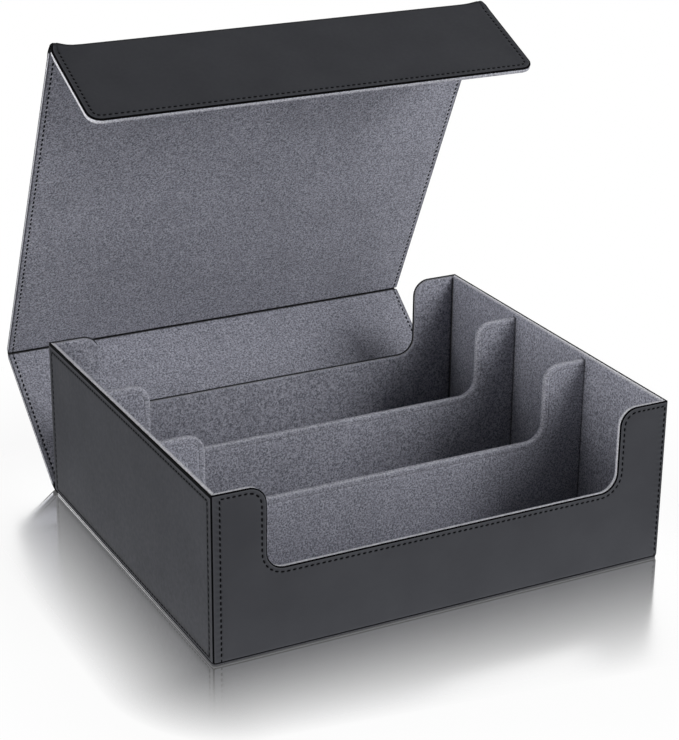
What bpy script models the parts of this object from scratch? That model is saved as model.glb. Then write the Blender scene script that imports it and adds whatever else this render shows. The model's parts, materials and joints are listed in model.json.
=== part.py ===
"""Card storage box: a lined tray of lanes in a wrap-around leather cover.

The tray's walls and partitions are greyboard, with leather outside and microsuede lining inside.
The lining turns over the top edge of each board and ends behind the leather. The cover is one wrap
that starts under the tray and goes on as spine, lid and front flap, with a living hinge at each
crease. Two magnets in the flap meet two steel plates behind the front wall's leather.

Metres, +Z up, the front towards -Y. The origin is the centre of the tray's underside.
"""

import bpy
import bmesh
from math import cos, pi, radians, sin, sqrt

MM = 0.001

# Tray, outside
BOX_W = 320 * MM
BOX_D = 270 * MM
BOX_H = 112 * MM

# Layers of the panels
LEATHER_T = 0.8 * MM
LINING_T = 0.6 * MM
GLUE = 0.3 * MM
BASE_BOARD_T = 2.4 * MM
WALL_BOARD_T = 2.4 * MM
PARTITION_BOARD_T = 2.2 * MM
COVER_BOARD_T = 2.0 * MM
LEATHER_EDGE_R = 0.5 * MM
LINING_EDGE_R = 0.8 * MM

# Wide U-cut that the front wall, the rear wall and the partitions share
EAR_W = 36 * MM
EAR_R = 12 * MM
SILL_H = 56 * MM
SILL_R = 12 * MM

# Lanes
LANES = 3
PARTITION_DROP = 3 * MM

# Cover
COVER_GAP = 0.4 * MM
FLAP_L = 75 * MM
FLAP_R = 9 * MM

# Magnetic closure
MAGNET_R = 6 * MM
MAGNET_T = 1.2 * MM
MAGNET_INSET = 13 * MM
PLATE_R = 7 * MM
PLATE_T = 1.0 * MM

# How the open cover stands, from upright
SPINE_BACK = radians(52)
LID_FORWARD = radians(25.5)
FLAP_FORWARD = radians(114)

# Steps of a round outline corner, a rounded sheet edge and a full circle
CORNER_STEPS = 8
EDGE_STEPS = 3
CIRCLE_STEPS = 32

# Worked out from the values above
BOARD_NEAR = LEATHER_T + GLUE
TURN_IN = LINING_T + GLUE
WALL_T = BOARD_NEAR + WALL_BOARD_T + TURN_IN
COVER_T = BOARD_NEAR + COVER_BOARD_T + TURN_IN
PARTITION_T = PARTITION_BOARD_T + 2 * TURN_IN
MITRE = GLUE / sqrt(2)
OVERRUN = 4 * WALL_T

BASE_TOP = BOARD_NEAR + BASE_BOARD_T
FLOOR_TOP = BASE_TOP + TURN_IN
LEATHER_FOOT = LEATHER_T + GLUE
BOARD_FOOT = BASE_TOP + GLUE
LINING_FOOT = FLOOR_TOP + GLUE

HINGE_R = COVER_T / 2
HINGE_Y = BOX_D / 2 + COVER_GAP + HINGE_R
HINGE_END = HINGE_R + GLUE
SPINE_L = BOX_H + COVER_GAP
LID_L = BOX_D + 2 * (COVER_GAP + HINGE_R)

CLASP_X = (BOX_W - EAR_W) / 2
MAGNET_Y = FLAP_L - MAGNET_INSET
PLATE_Z = HINGE_R + SPINE_L - MAGNET_Y


# Materials

def make_material(name, rgb, roughness, metallic=0.0):
    material = bpy.data.materials.new(name)
    material.use_nodes = True
    shader = material.node_tree.nodes["Principled BSDF"]
    shader.inputs["Base Color"].default_value = (*rgb, 1.0)
    shader.inputs["Roughness"].default_value = roughness
    shader.inputs["Metallic"].default_value = metallic
    return material


# Shapes

def loft(name, rings, material):
    """Closed solid through (height, outline) rings of as many points, anticlockwise from above."""
    bm = bmesh.new()
    loops = []
    for height, outline in rings:
        loops.append([bm.verts.new((x, y, height)) for x, y in outline])
    bm.faces.new(reversed(loops[0]))
    bm.faces.new(loops[-1])
    for lower, upper in zip(loops, loops[1:]):
        for i in range(len(lower)):
            j = (i + 1) % len(lower)
            bm.faces.new((lower[i], lower[j], upper[j], upper[i]))
    return finish_mesh(name, bm, material)


def disc(name, radius, height, material):
    """Round piece centred on its own origin, its axis along local Z."""
    bm = bmesh.new()
    bmesh.ops.create_cone(
        bm, cap_ends=True, segments=CIRCLE_STEPS, radius1=radius, radius2=radius, depth=height
    )
    return finish_mesh(name, bm, material)


def finish_mesh(name, bm, material):
    mesh = bpy.data.meshes.new(name)
    bm.to_mesh(mesh)
    bm.free()
    mesh.materials.append(material)
    mesh.shade_smooth()
    mesh.set_sharp_from_angle(angle=radians(35))
    obj = bpy.data.objects.new(name, mesh)
    bpy.context.scene.collection.objects.link(obj)
    return obj


def place(obj, parent, location=(0.0, 0.0, 0.0)):
    obj.parent = parent
    obj.location = location
    return obj


def cut(obj, cutter):
    """Takes the cutter's volume out of a piece that has the same parent."""
    cutter.hide_render = True
    cutter.display_type = "WIRE"
    boolean = obj.modifiers.new(cutter.name, "BOOLEAN")
    boolean.operation = "DIFFERENCE"
    boolean.solver = "EXACT"
    boolean.object = cutter


def round_corner(centre_x, centre_y, radius, start, end):
    """Points of an outline corner, with angles in radians."""
    points = []
    for i in range(CORNER_STEPS + 1):
        angle = start + (end - start) * i / CORNER_STEPS
        points.append((centre_x + radius * cos(angle), centre_y + radius * sin(angle)))
    return points


def rounded_edge(radius):
    """(height, draw-in) steps of a sheet edge that rounds over towards its lower face."""
    steps = []
    for i in range(EDGE_STEPS + 1):
        angle = pi / 2 * i / EDGE_STEPS
        steps.append((radius * (1 - cos(angle)), radius * (1 - sin(angle))))
    return steps


# Outlines

def rectangle(half_x, half_y):
    return [(-half_x, -half_y), (half_x, -half_y), (half_x, half_y), (-half_x, half_y)]


def u_cut(half, top, rim):
    """Top line of a wall or partition, right to left, with the U-cut between its two ears.

    rim draws the whole line in, so that it stays parallel to the full outline.
    """
    ear_x = BOX_W / 2 - EAR_W
    ear = round_corner(ear_x + EAR_R, top - EAR_R, EAR_R - rim, pi / 2, pi)
    sill = round_corner(ear_x - SILL_R, SILL_H + SILL_R, SILL_R + rim, 0, -pi / 2)
    right = [(half, top - rim)] + ear + sill
    left = [(-x, y) for x, y in reversed(right)]
    return right + left


def wall_outline(length, notched):
    """Outline of a wall as a function of the depth from its leather face.

    foot is the height of the bottom edge. rim draws in the top edge, and butt the edges that meet
    another wall or the base. The ends are mitred, so that a deeper layer is shorter.
    """
    def outline(depth, foot, rim=0.0, butt=0.0):
        half = length / 2 - depth - MITRE - butt
        bottom = [(-half, foot + butt), (half, foot + butt)]
        if notched:
            return bottom + u_cut(half, BOX_H, rim)
        return bottom + [(half, BOX_H - rim), (-half, BOX_H - rim)]
    return outline


def hinged_outline(length):
    """Outline of a cover panel between two creases: its sides are rims, its ends butt."""
    def outline(depth, foot, rim=0.0, butt=0.0):
        half = BOX_W / 2 - rim
        end = length - HINGE_END - butt
        return [(-half, foot + butt), (half, foot + butt), (half, end), (-half, end)]
    return outline


def flap_outline(depth, foot, rim=0.0, butt=0.0):
    """Outline of the flap, free on three sides, with round free corners."""
    half = BOX_W / 2 - rim
    corner = round_corner(BOX_W / 2 - FLAP_R, FLAP_L - FLAP_R, FLAP_R - rim, 0, pi / 2)
    right = [(half, foot + butt)] + corner
    left = [(-x, y) for x, y in reversed(right)]
    return right + left


# Panels

def leather_sheet(name, outline, foot):
    """Leather with its face at local Z = 0 and its face edges rounded."""
    rings = []
    for height, drawn in rounded_edge(LEATHER_EDGE_R):
        rings.append((height, outline(height, foot, rim=drawn, butt=drawn)))
    rings.append((LEATHER_T, outline(LEATHER_T, foot)))
    return loft(name, rings, leather)


def board_sheet(name, outline, foot, board_far):
    """Greyboard behind the leather, short of the free edges by the lining that turns over them."""
    rings = [(depth, outline(depth, foot, rim=TURN_IN)) for depth in (BOARD_NEAR, board_far)]
    return loft(name, rings, greyboard)


def lining_sheet(name, outline, foot, board_far, parent):
    """Lining on the inner side that turns over the board's free edges, up to the leather's back."""
    lining_near = board_far + GLUE
    panel_t = lining_near + LINING_T
    rings = [(BOARD_NEAR, outline(BOARD_NEAR, foot))]
    for height, drawn in reversed(rounded_edge(LINING_EDGE_R)):
        depth = panel_t - height
        rings.append((depth, outline(depth, foot, rim=drawn)))
    lining = loft(name, rings, microsuede)
    pocket_depths = (BOARD_NEAR - OVERRUN, lining_near)
    pocket_rings = [(depth, outline(depth, foot, rim=LINING_T, butt=-OVERRUN)) for depth in pocket_depths]
    pocket = loft(f"{name}_pocket", pocket_rings, microsuede)
    place(pocket, parent)
    cut(lining, pocket)
    return lining


def panel(name, outline, board_t, parent, feet):
    """Leather, board and lining of one panel, in the frame of its parent. Returns the board."""
    leather_foot, board_foot, lining_foot = feet
    board_far = BOARD_NEAR + board_t
    place(leather_sheet(f"{name}_leather", outline, leather_foot), parent)
    board = place(board_sheet(f"{name}_board", outline, board_foot, board_far), parent)
    place(lining_sheet(f"{name}_lining", outline, lining_foot, board_far, parent), parent)
    return board


def frame(name, location, rotation, parent=None):
    """Empty whose local X runs along a panel's width, Y up the panel and Z from leather to lining."""
    empty = bpy.data.objects.new(name, None)
    empty.location = location
    empty.rotation_euler = rotation
    empty.parent = parent
    bpy.context.scene.collection.objects.link(empty)
    return empty


def pocketed_disc(name, radius, height, material, board, parent, x, y, face, opens):
    """Disc let into a board, flush with the board's face at local Z = face.

    opens is 1 where that face looks to local +Z and -1 where it looks to -Z. The pocket is wider
    and deeper than the disc by the glue line.
    """
    place(disc(name, radius, height, material), parent, (x, y, face - opens * height / 2))
    depth = height + GLUE
    pocket = disc(f"{name}_pocket", radius + GLUE, depth + OVERRUN, material)
    place(pocket, parent, (x, y, face + opens * (OVERRUN - depth) / 2))
    cut(board, pocket)


# Tray

def base():
    """Leather underside, base board and floor lining."""
    rings = [(h, rectangle(BOX_W / 2 - d, BOX_D / 2 - d)) for h, d in rounded_edge(LEATHER_EDGE_R)]
    rings.append((LEATHER_T, rectangle(BOX_W / 2, BOX_D / 2)))
    loft("base_leather", rings, leather)
    board = rectangle(BOX_W / 2 - BOARD_NEAR, BOX_D / 2 - BOARD_NEAR)
    loft("base_board", [(BOARD_NEAR, board), (BASE_TOP, board)], greyboard)
    inside_boards = BOARD_NEAR + WALL_BOARD_T + GLUE
    floor = rectangle(BOX_W / 2 - inside_boards, BOX_D / 2 - inside_boards)
    loft("floor_lining", [(BASE_TOP + GLUE, floor), (FLOOR_TOP, floor)], microsuede)


def walls():
    """Four walls with mitred corners, and the steel plates in the front one."""
    feet = (LEATHER_FOOT, BOARD_FOOT, LINING_FOOT)
    sides = (
        ("front_wall", BOX_W, (0, -BOX_D / 2, 0), True),
        ("right_wall", BOX_D, (BOX_W / 2, 0, 0), False),
        ("rear_wall", BOX_W, (0, BOX_D / 2, 0), True),
        ("left_wall", BOX_D, (-BOX_W / 2, 0, 0), False),
    )
    for i, (name, length, face, notched) in enumerate(sides):
        side = frame(f"{name}_frame", face, (pi / 2, 0, pi + i * pi / 2))
        board = panel(name, wall_outline(length, notched), WALL_BOARD_T, side, feet)
        if name == "front_wall":
            for hand, x in (("left", CLASP_X), ("right", -CLASP_X)):
                plate = f"{hand}_steel_plate"
                pocketed_disc(plate, PLATE_R, PLATE_T, steel, board, side, x, PLATE_Z, BOARD_NEAR, -1)


def partitions():
    """Lane partitions: each a board in a sleeve of lining that is folded over its top edge."""
    half = BOX_W / 2 - WALL_T - GLUE
    top = BOX_H - PARTITION_DROP
    inner_d = BOX_D - 2 * WALL_T
    pitch = (inner_d + PARTITION_T) / LANES

    def outline(rim, butt):
        ends = half - butt
        foot = LINING_FOOT + butt
        return [(-ends, foot), (ends, foot)] + u_cut(ends, top, rim)

    for i in range(1, LANES):
        y = -BOX_D / 2 + WALL_T + i * pitch - PARTITION_T / 2
        middle = frame(f"partition_{i}_frame", (0, y, 0), (pi / 2, 0, pi))
        board_half = PARTITION_BOARD_T / 2
        board_rings = [(z, outline(TURN_IN, 0.0)) for z in (-board_half, board_half)]
        place(loft(f"partition_{i}_board", board_rings, greyboard), middle)
        sleeve_rings = []
        for height, drawn in rounded_edge(LINING_EDGE_R):
            sleeve_rings.append((height - PARTITION_T / 2, outline(drawn, 0.0)))
        for height, drawn in reversed(rounded_edge(LINING_EDGE_R)):
            sleeve_rings.append((PARTITION_T / 2 - height, outline(drawn, 0.0)))
        sleeve = place(loft(f"partition_{i}_lining", sleeve_rings, microsuede), middle)
        slot_half = board_half + GLUE
        slot_rings = [(z, outline(LINING_T, -OVERRUN)) for z in (-slot_half, slot_half)]
        slot = place(loft(f"partition_{i}_slot", slot_rings, microsuede), middle)
        cut(sleeve, slot)


# Cover

def hinge_roll(name, parent):
    """Leather that folds at a crease, as a round roll on the crease's axis, along local X."""
    roll = disc(name, HINGE_R, BOX_W, leather)
    place(roll, parent)
    roll.rotation_euler = (0, pi / 2, 0)


def cover():
    """Spine, lid and flap, each hinged to the end of the one before it."""
    feet = (HINGE_END, HINGE_END, HINGE_END)
    leather_side = (0, 0, -HINGE_R)
    upright = pi / 2

    spine_axis = frame("spine_axis", (0, HINGE_Y, HINGE_R), (upright - SPINE_BACK, 0, 0))
    hinge_roll("spine_hinge_leather", spine_axis)
    spine_frame = frame("spine_frame", leather_side, (0, 0, 0), spine_axis)
    panel("spine", hinged_outline(SPINE_L), COVER_BOARD_T, spine_frame, feet)

    lid_axis = frame("lid_axis", (0, SPINE_L, 0), (SPINE_BACK + LID_FORWARD, 0, 0), spine_axis)
    hinge_roll("lid_hinge_leather", lid_axis)
    lid_frame = frame("lid_frame", leather_side, (0, 0, 0), lid_axis)
    panel("lid", hinged_outline(LID_L), COVER_BOARD_T, lid_frame, feet)

    flap_axis = frame("flap_axis", (0, LID_L, 0), (FLAP_FORWARD - LID_FORWARD, 0, 0), lid_axis)
    hinge_roll("flap_hinge_leather", flap_axis)
    flap_frame = frame("flap_frame", leather_side, (0, 0, 0), flap_axis)
    board = panel("flap", flap_outline, COVER_BOARD_T, flap_frame, feet)
    board_far = BOARD_NEAR + COVER_BOARD_T
    for hand, x in (("left", -CLASP_X), ("right", CLASP_X)):
        magnet = f"{hand}_magnet"
        pocketed_disc(magnet, MAGNET_R, MAGNET_T, nickel, board, flap_frame, x, MAGNET_Y, board_far, 1)


for old in list(bpy.data.objects):
    bpy.data.objects.remove(old, do_unlink=True)

leather = make_material("charcoal PU leather", (0.058, 0.060, 0.066), 0.5)
microsuede = make_material("grey microsuede", (0.175, 0.178, 0.205), 0.95)
greyboard = make_material("greyboard", (0.27, 0.25, 0.22), 0.9)
steel = make_material("zinc-plated steel", (0.55, 0.56, 0.58), 0.35, 1.0)
nickel = make_material("nickel-plated magnet", (0.66, 0.64, 0.60), 0.25, 1.0)

base()
walls()
partitions()
cover()
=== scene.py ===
"""Looks of the card storage box: leather-covered boards, microsuede lining and sewn edges.

Metres, +Z up, the front towards -Y. The sections follow the box as it is put together: boards,
base, walls, linings, partitions, then the cover that wraps round it, and last the studio.
"""

import json
from collections import namedtuple
from math import atan2, cos, exp, pi, radians, sin, tan

import bmesh
import bpy
from mathutils import Euler, Matrix, Vector


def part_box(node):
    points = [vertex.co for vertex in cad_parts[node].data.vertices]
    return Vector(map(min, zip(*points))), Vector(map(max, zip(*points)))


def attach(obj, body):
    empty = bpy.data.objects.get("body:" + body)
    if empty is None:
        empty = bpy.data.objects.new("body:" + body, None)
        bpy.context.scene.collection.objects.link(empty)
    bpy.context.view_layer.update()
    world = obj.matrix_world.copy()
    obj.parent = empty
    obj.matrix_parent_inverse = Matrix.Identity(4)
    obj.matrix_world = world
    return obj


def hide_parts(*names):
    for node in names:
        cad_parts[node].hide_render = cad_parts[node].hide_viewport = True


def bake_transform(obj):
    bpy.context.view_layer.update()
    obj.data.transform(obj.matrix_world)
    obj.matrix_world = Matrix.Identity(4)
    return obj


MM = 0.001

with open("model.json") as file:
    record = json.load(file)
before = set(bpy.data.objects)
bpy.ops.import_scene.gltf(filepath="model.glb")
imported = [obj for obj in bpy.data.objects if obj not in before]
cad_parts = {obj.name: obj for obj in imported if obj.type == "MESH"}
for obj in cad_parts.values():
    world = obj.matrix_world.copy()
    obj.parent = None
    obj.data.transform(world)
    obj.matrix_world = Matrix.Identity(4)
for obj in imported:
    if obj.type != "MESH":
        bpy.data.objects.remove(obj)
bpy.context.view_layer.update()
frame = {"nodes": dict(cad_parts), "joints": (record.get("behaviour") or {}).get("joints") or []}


# Camera of the product photograph: a long lens, turned 28 degrees to the left of the box and
# looking down 22 degrees, so that the front, the left end and the inside of the lid all show.
VIEW_TURN = radians(-27.59)
VIEW_DROP = radians(22.14)
VIEW_ROLL = radians(0.598)
VIEW_FROM = Vector((-0.5941, -1.1236, 0.6294))
LENS = 101.25

forward = Vector((-sin(VIEW_TURN) * cos(VIEW_DROP), cos(VIEW_TURN) * cos(VIEW_DROP), -sin(VIEW_DROP)))
level_right = Vector((cos(VIEW_TURN), sin(VIEW_TURN), 0.0))
level_up = level_right.cross(forward)
camera_right = level_right * cos(VIEW_ROLL) + level_up * sin(VIEW_ROLL)
camera_up = level_up * cos(VIEW_ROLL) - level_right * sin(VIEW_ROLL)
camera_data = bpy.data.cameras.new("product camera")
camera_data.lens = LENS
camera_data.sensor_width = 36.0
camera_data.clip_start = 0.05
camera_data.clip_end = 60.0
camera = bpy.data.objects.new("product camera", camera_data)
camera.matrix_world = Matrix.Translation(VIEW_FROM) @ Matrix(
    (camera_right, camera_up, -forward)
).transposed().to_4x4()
bpy.context.scene.collection.objects.link(camera)
bpy.context.scene.camera = camera


# Boards: die-cut greyboard, pressed from waste paper, in the base, the walls, the partitions and
# the three cover panels. They are glued inside the skins, and only a cut edge could ever show.
BOARD_GREY = "8b857a"
BOARD_FLECK = "5d574d"
FIBRE = 0.7 * MM
FLECK = 2.4 * MM


def linear(hex_colour):
    """Linear RGBA of an sRGB hex colour."""
    channels = []
    for start in (0, 2, 4):
        value = int(hex_colour[start:start + 2], 16) / 255
        low = value / 12.92
        high = ((value + 0.055) / 1.055) ** 2.4
        channels.append(low if value <= 0.04045 else high)
    return (*channels, 1.0)


def add(tree, kind, inputs=None, **settings):
    """Adds a node. inputs gives each socket a value, or another node's output to link.

    A MapRange turns the range from its sockets 1 to 2 into that from 3 to 4, and a Mix of two
    colours has them at 6 and 7.
    """
    node = tree.nodes.new("ShaderNode" + kind)
    for name, value in settings.items():
        setattr(node, name, value)
    for socket, value in (inputs or {}).items():
        if isinstance(value, bpy.types.NodeSocket):
            tree.links.new(value, node.inputs[socket])
        else:
            node.inputs[socket].default_value = value
    return node


def new_material(name, inputs):
    """Material with one Principled shader, whose even values are set on its own sockets."""
    material = bpy.data.materials.new(name)
    material.use_nodes = True
    shader = material.node_tree.nodes["Principled BSDF"]
    for socket, value in inputs.items():
        shader.inputs[socket].default_value = value
    return material, material.node_tree, shader


# Pressed paper board: matt, with dark flecks and a faint fibre relief
greyboard, tree, shader = new_material("greyboard, pressed", {"Roughness": 0.92, "IOR": 1.45})
place_on = add(tree, "TexCoord").outputs["Object"]
flecks = add(tree, "TexVoronoi", {"Vector": place_on, "Scale": 1 / FLECK})
fleck_share = add(
    tree, "MapRange", {"Value": flecks.outputs["Distance"], 1: 0.05, 2: 0.22, 3: 0.8, 4: 0.0}
)
board_colour = add(
    tree,
    "Mix",
    {"Factor": fleck_share.outputs["Result"], 6: linear(BOARD_GREY), 7: linear(BOARD_FLECK)},
    data_type="RGBA",
)
fibres = add(tree, "TexNoise", {"Vector": place_on, "Scale": 1 / FIBRE, "Detail": 4.0})
fibre_relief = add(tree, "Bump", {"Height": fibres.outputs["Fac"], "Strength": 0.4, "Distance": 0.05 * MM})
tree.links.new(board_colour.outputs[2], shader.inputs["Base Color"])
tree.links.new(fibre_relief.outputs["Normal"], shader.inputs["Normal"])

for name, node in frame["nodes"].items():
    if name.endswith("_board"):
        node.data.materials.clear()
        node.data.materials.append(greyboard)


# Closure: two zinc-plated steel discs let into the front wall's board and two nickel-plated
# magnets let into the flap's board, both covered by the skins.
ZINC = "c3c7cc"
NICKEL = "cdc8bd"
PLATING_GRAIN = 0.35 * MM


def plated(name, colour, roughness):
    """Barrel-plated metal: bright, with the fine uneven gloss that tumbling leaves."""
    material, tree, shader = new_material(name, {"Base Color": linear(colour), "Metallic": 1.0})
    place_on = add(tree, "TexCoord").outputs["Object"]
    haze = add(tree, "TexNoise", {"Vector": place_on, "Scale": 1 / PLATING_GRAIN, "Detail": 3.0})
    gloss = add(tree, "MapRange", {"Value": haze.outputs["Fac"], 3: roughness - 0.07, 4: roughness + 0.09})
    tree.links.new(gloss.outputs["Result"], shader.inputs["Roughness"])
    return material


zinc_steel = plated("zinc-plated steel", ZINC, 0.36)
nickel_magnet = plated("nickel-plated magnet", NICKEL, 0.24)
for hand in ("left", "right"):
    for name, metal, slot in (
        (f"{hand}_steel_plate", zinc_steel, "zinc_steel"),
        (f"{hand}_magnet", nickel_magnet, "nickel_magnet"),
    ):
        disc = frame["nodes"][name]
        disc.data.materials.clear()
        disc.data.materials.append(metal)


# Base: the first panel of the wrap-around cover, glued under the tray. Its leather is PU film
# on a woven backing, rolled over at three edges, and goes on as the spine's crease at the rear.
STITCH = 3.9 * MM
ARC_STEPS = 8
BASE_CORNER_R = 2.5 * MM
CREASE_REACH = 8 * MM
LEATHER_GREY = "393a3e"
LEATHER_WORN_HIGHLIGHT = "55565b"
LEATHER_SHADE = "0e0f11"
LEATHER_CLOUD = "313236"
COVER_SHADED_GREY = "333438"
COVER_SHADED_CLOUD = "2b2c30"
EDGE_BLACK = "050506"
PEBBLE = 0.9 * MM
CREASE_GRAIN = 2.6 * MM
CLOUD = 34 * MM
PAINT_RIPPLE = 1.5 * MM

tray_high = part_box("base_leather")[1]
HALF_W = tray_high.x
HALF_D = tray_high.y
BOX_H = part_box("front_wall_leather")[1].z

# One step of a skin's section, in mm, from the middle of its face over the edge to the middle of
# its back. inset is the distance from a free edge, mitre that from a mitred edge, and depth that
# from the face. groove is added to the depth along a seam, and pucker as well where the skin rises
# again between two stitches. fold is 1 where the skin bends over an edge and below 0 where it is
# pressed in; above 0 it paints a highlight into the colour, on the leather partly wear as well, and
# below 0 it paints shade. cover says what lies between this step and the next: skin, paint, or the
# foot of the sheet, where its faces end.
Step = namedtuple("Step", "inset mitre depth groove pucker fold cover")

# How much closer to the edge, in mm, the seam runs along a near mitre
NEAR_SHIFT = 3.2
# The smallest radius that a drawn-in corner keeps
LEAST_R = 0.03 * MM


def leather_section(seam, mitre_seam, paint, pucker=0.26, flank=0.3):
    """Section of sewn leather, with a seam at that distance from a free edge, all in mm.

    paint is the width of the painted band, pucker how far the skin rises between two stitches, and
    flank how much shade is painted on the sides of the seam's groove.
    """
    return (
        Step(8.00, 8.00, 0.00, 0.00, 0.00, 0.0, "skin"),
        Step(seam + 1.50, mitre_seam + 1.50, 0.00, 0.00, 0.00, 0.0, "skin"),
        Step(seam + 0.65, mitre_seam + 0.65, 0.00, 0.12, -pucker / 3, -flank, "skin"),
        Step(seam, mitre_seam, 0.00, 0.36, -pucker, -1.0, "skin"),
        Step(seam - 0.65, mitre_seam - 0.65, 0.00, 0.12, -pucker / 3, -flank, "skin"),
        # Beside the paint the rolled edge is paler: wear, and a painted highlight
        Step(paint + 0.80, 1.70, 0.00, 0.00, 0.00, 0.1, "skin"),
        Step(paint + 0.45, 1.45, 0.00, 0.00, 0.00, 0.3, "skin"),
        Step(paint + 0.15, 1.15, 0.05, 0.00, 0.00, 0.5, "skin"),
        Step(paint, 1.00, 0.09, 0.00, 0.00, 0.0, "paint"),
        Step(paint * 0.40, 0.55, 0.26, 0.00, 0.00, 0.0, "paint"),
        Step(0.08, 0.40, 0.46, 0.00, 0.00, 0.0, "paint"),
        Step(0.00, 0.52, 0.68, 0.00, 0.00, 0.0, "paint"),
        Step(0.06, 0.84, 1.00, 0.00, 0.00, 0.0, "skin"),
        Step(8.00, 8.00, 1.00, 0.00, 0.00, 0.0, "foot"),
    )


def drawn_in(step, kind):
    """How far, in metres, a step lies inside an edge. A near mitre has its seam closer to it."""
    if kind == "near mitre" and step.groove:
        return (step.mitre - NEAR_SHIFT) * MM
    return (step.mitre if "mitre" in kind else step.inset) * MM


def runs_of(outline, closed, step, end_inset):
    """Straight and round runs of an outline, drawn in to a section's step.

    A corner is (x, y, radius, kind of the edge that leaves it), and the inside lies on the left.
    A run is (function from a share of its length to its point, length, whether it is round, whether
    it is sewn). The ends of an open outline have no radius, and stop short by end_inset.
    """
    count = len(outline)
    edge_count = count if closed else count - 1
    along, inward, drawn = [], [], []
    for i in range(edge_count):
        start = Vector(outline[i][:2])
        heading = (Vector(outline[(i + 1) % count][:2]) - start).normalized()
        along.append(heading)
        inward.append(Vector((-heading.y, heading.x)))
        drawn.append(drawn_in(step, outline[i][3]))

    arrivals, departures, arcs = [], [], []
    for i in range(count):
        point = Vector(outline[i][:2])
        before, after = i - 1, i
        arc = None
        if not closed and i == 0:
            point = point + inward[after] * drawn[after] + along[after] * end_inset
        elif not closed and i == count - 1:
            point = point + inward[before] * drawn[before] - along[before] * end_inset
        else:
            turn = along[before].cross(along[after])
            point = point + along[after] * (drawn[before] / turn) - along[before] * (drawn[after] / turn)
        arrival, departure = point, point
        if outline[i][2] > 0:
            bend = atan2(turn, along[before].dot(along[after]))
            side = 1 if bend > 0 else -1
            radius = max(outline[i][2] - side * (drawn[before] + drawn[after]) / 2, LEAST_R)
            reach = radius * tan(abs(bend) / 2)
            arrival = point - along[before] * reach
            departure = point + along[after] * reach
            centre = arrival + inward[before] * radius * side
            arc = (centre, arrival - centre, bend)
        arrivals.append(arrival)
        departures.append(departure)
        arcs.append(arc)

    runs = []
    for i in range(count):
        sewn_before = (closed or i > 0) and outline[i - 1][3] != "plain"
        sewn_after = i < edge_count and outline[i][3] != "plain"
        if arcs[i]:
            centre, arm, bend = arcs[i]

            def on_arc(share, centre=centre, arm=arm, bend=bend):
                return centre + Matrix.Rotation(bend * share, 2) @ arm
            runs.append((on_arc, arm.length * abs(bend), True, sewn_before and sewn_after))
        if i < edge_count:
            start, end = departures[i], arrivals[(i + 1) % count]

            def on_edge(share, start=start, end=end):
                return start.lerp(end, share)
            runs.append((on_edge, (end - start).length, False, sewn_after))
    return runs


def stitches_in(length):
    return round(length / STITCH)


def parts_in_stitch(is_round):
    """How many parts a run is cut into for each of its stitches: more on an arc."""
    return 4 if is_round else 2


def steps_in(length, is_round, sewn):
    """How many parts a run is cut into."""
    stitches = stitches_in(length) if sewn else 0
    if stitches:
        return stitches * parts_in_stitch(is_round)
    return ARC_STEPS if is_round else 1


def ring_points(outline, closed, step, counts, end_inset):
    """Points (x, y, seam, hole) round an outline: seam is 1 on a sewn run, hole 1 at a needle hole."""
    runs = runs_of(outline, closed, step, end_inset)
    points = []
    for (at, _, is_round, sewn), count in zip(runs, counts):
        for i in range(count):
            x, y = at(i / count)
            hole = (1 + cos(2 * pi * i / parts_in_stitch(is_round))) / 2
            points.append((x, y, 1.0 if sewn else 0.0, hole))
    if not closed:
        at, _, _, sewn = runs[-1]
        x, y = at(1.0)
        points.append((x, y, 1.0 if sewn else 0.0, 1.0))
    return points


def seam_step(section):
    """The step at the bottom of a section's groove, where its seam runs."""
    return max(section, key=lambda step: abs(step.groove))


def counts_for(outline, closed, section, sewn=True):
    """How many parts each run of an outline is cut into, the same at every step of the section."""
    runs = runs_of(outline, closed, seam_step(section), 0.0)
    return [steps_in(length, is_round, sewn and run_sewn) for _, length, is_round, run_sewn in runs]


SHARP_BEND = radians(50)


def finish_piece(name, bm, materials):
    """Closed, smooth piece that faces outwards, with the edges that bend more left sharp."""
    bmesh.ops.recalc_face_normals(bm, faces=bm.faces)
    mesh = bpy.data.meshes.new(name)
    bm.to_mesh(mesh)
    bm.free()
    for material in materials:
        mesh.materials.append(material)
    mesh.shade_smooth()
    mesh.set_sharp_from_angle(angle=SHARP_BEND)
    piece = bpy.data.objects.new(name, mesh)
    bpy.context.scene.collection.objects.link(piece)
    return piece


def fold_at(step, seam, hole):
    """Along a seam, shade is painted into the groove, and a highlight where the skin rises between two
    stitches.
    """
    if not step.groove:
        return step.fold
    rise = -step.pucker / step.groove
    return step.fold * seam * (1 - 2 * rise * hole)


def even_highlight(x):
    return 1.0


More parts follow.
